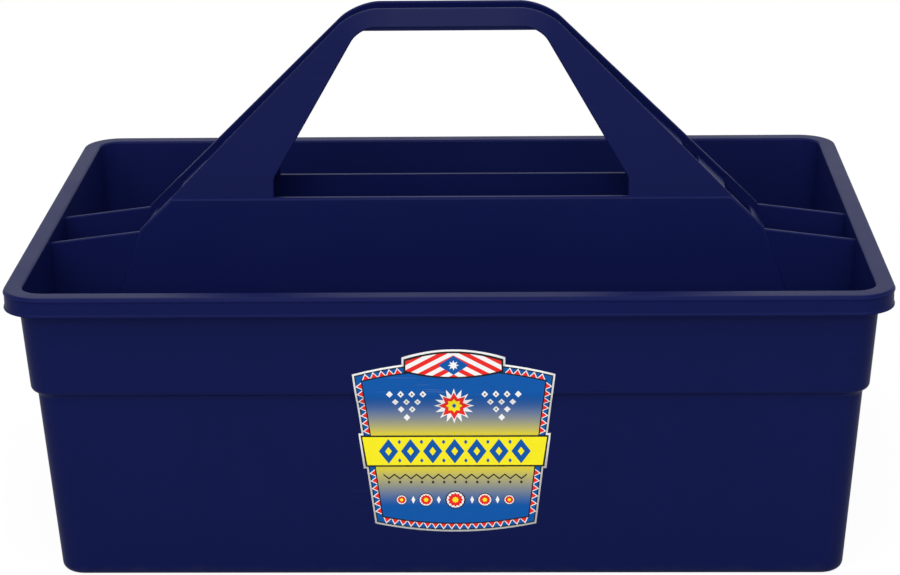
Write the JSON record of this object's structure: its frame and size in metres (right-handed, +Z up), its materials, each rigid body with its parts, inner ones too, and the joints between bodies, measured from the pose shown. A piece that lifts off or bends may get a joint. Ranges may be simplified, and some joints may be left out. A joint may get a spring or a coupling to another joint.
{
  "type": "grooming tote",
  "caption": "Open rectangular plastic carry tote with tapered walls, a hollow centre divider and an arched carrying handle.",
  "frame": {"origin": "middle of the rim's plan outline, on the plane that the floor stands on", "axes": "+X along the tote's length, +Y towards its back, +Z up"},
  "size_m": [0.445, 0.304, 0.2768],
  "materials": {
    "navy_plastic": "satin moulded polyolefin, navy blue",
    "printed_label": null
  },
  "bodies": {
    "root": {"tub": "navy_plastic", "front_panel": "navy_plastic", "back_panel": "navy_plastic", "front_left_wing": "navy_plastic", "front_right_wing": "navy_plastic", "back_left_wing": "navy_plastic", "back_right_wing": "navy_plastic", "left_pocket": "navy_plastic", "right_pocket": "navy_plastic", "front_arch": "navy_plastic", "back_arch": "navy_plastic", "left_leg_web": "navy_plastic", "right_leg_web": "navy_plastic", "grip_floor": "navy_plastic", "label": "printed_label"}
  },
  "joints": []
}
